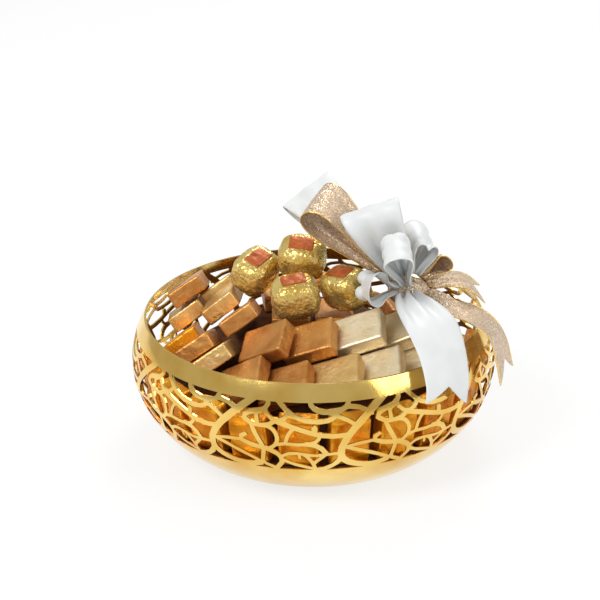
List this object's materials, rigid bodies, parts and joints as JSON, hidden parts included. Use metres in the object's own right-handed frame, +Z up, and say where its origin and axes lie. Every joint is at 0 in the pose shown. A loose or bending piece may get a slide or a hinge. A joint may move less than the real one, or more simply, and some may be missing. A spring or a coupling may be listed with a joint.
{
  "type": "gift bowl of chocolates",
  "caption": "Round pressed gold metal bowl with a cut openwork vine wall, filled with foil-wrapped chocolate bars and truffles and tied with a bow of satin and glitter ribbon.",
  "frame": {"origin": "centre of the bowl's flat foot, on the surface it stands on", "axes": "+Z up, -Y the front that faces the viewer, +X to the viewer's right"},
  "size_m": [0.2601, 0.25, 0.1834],
  "materials": {
    "gold_plate": "polished",
    "filler_card": "matte",
    "bar_foil_amber": "satin foil",
    "bar_foil": "satin foil",
    "truffle_foil": "bright crinkled foil",
    "label_paper": "satin",
    "satin": "satin",
    "glitter": "glitter"
  },
  "bodies": {
    "dish": {"bar_back_0": "bar_foil", "bar_back_2": "bar_foil", "bar_front_high_1": "bar_foil", "bar_front_high_2": "bar_foil", "bar_front_high_3": "bar_foil", "bar_front_low_0": "bar_foil", "bar_front_low_1": "bar_foil", "bar_front_low_2": "bar_foil", "bar_front_low_3": "bar_foil", "bar_front_low_4": "bar_foil", "bar_side_back_0": "bar_foil", "bar_side_back_1": "bar_foil", "bar_side_high_0": "bar_foil", "bar_side_low_1": "bar_foil", "bar_side_mid_0": "bar_foil", "bar_side_mid_1": "bar_foil", "bar_side_wall": "bar_foil", "bar_top_0": "bar_foil", "bar_top_1": "bar_foil", "bar_top_2": "bar_foil", "bowl": "gold_plate", "filler_cone": "filler_card", "filler_tray": "filler_card", "glitter_knot": "glitter", "glitter_loop_back": "glitter", "glitter_loop_left": "glitter", "glitter_loop_right": "glitter", "glitter_tail_rim": "glitter", "glitter_tail_short": "glitter", "truffle_right": "truffle_foil", "truffle_right_label": "label_paper", "wall_bar_0": "bar_foil_amber", "wall_bar_1": "bar_foil_amber", "wall_bar_10": "bar_foil_amber", "wall_bar_11": "bar_foil_amber", "wall_bar_2": "bar_foil_amber", "wall_bar_3": "bar_foil_amber", "wall_bar_4": "bar_foil_amber", "wall_bar_5": "bar_foil_amber", "wall_bar_6": "bar_foil_amber", "wall_bar_7": "bar_foil_amber", "wall_bar_8": "bar_foil_amber", "wall_bar_9": "bar_foil_amber", "white_loop_front": "satin", "white_loop_left": "satin", "white_loop_low": "satin", "white_loop_mid": "satin", "white_loop_right": "satin", "white_tail_front": "satin"},
    "top_chocolate": {"truffle_top": "truffle_foil", "truffle_top_label": "label_paper"},
    "front_chocolate": {"truffle_front": "truffle_foil", "truffle_front_label": "label_paper"},
    "left_chocolate": {"truffle_left": "truffle_foil", "truffle_left_label": "label_paper"},
    "front_bar": {"bar_front_high_0": "bar_foil"},
    "side_bar": {"bar_side_low_0": "bar_foil"},
    "back_bar": {"bar_back_1": "bar_foil"},
    "right_bar": {"bar_back_3": "bar_foil"}
  },
  "joints": [
    {"name": "top_chocolate_lift", "type": "slide", "parent": "dish", "child": "top_chocolate", "axis": [-0.3714, 0, 0.9285], "range_m": [0, 0.05]},
    {"name": "front_chocolate_lift", "type": "slide", "parent": "dish", "child": "front_chocolate", "axis": [-0.3714, 0, 0.9285], "range_m": [0, 0.05]},
    {"name": "left_chocolate_lift", "type": "slide", "parent": "dish", "child": "left_chocolate", "axis": [-0.6247, 0, 0.7809], "range_m": [0, 0.05]},
    {"name": "front_bar_lift", "type": "slide", "parent": "dish", "child": "front_bar", "axis": [0, -0.3714, 0.9285], "range_m": [0, 0.05]},
    {"name": "side_bar_lift", "type": "slide", "parent": "dish", "child": "side_bar", "axis": [-0.3714, 0, 0.9285], "range_m": [0, 0.05]},
    {"name": "back_bar_lift", "type": "slide", "parent": "dish", "child": "back_bar", "axis": [0, 0.3714, 0.9285], "range_m": [0, 0.05]},
    {"name": "right_bar_lift", "type": "slide", "parent": "dish", "child": "right_bar", "axis": [0, 0.3714, 0.9285], "range_m": [0, 0.05]}
  ]
}
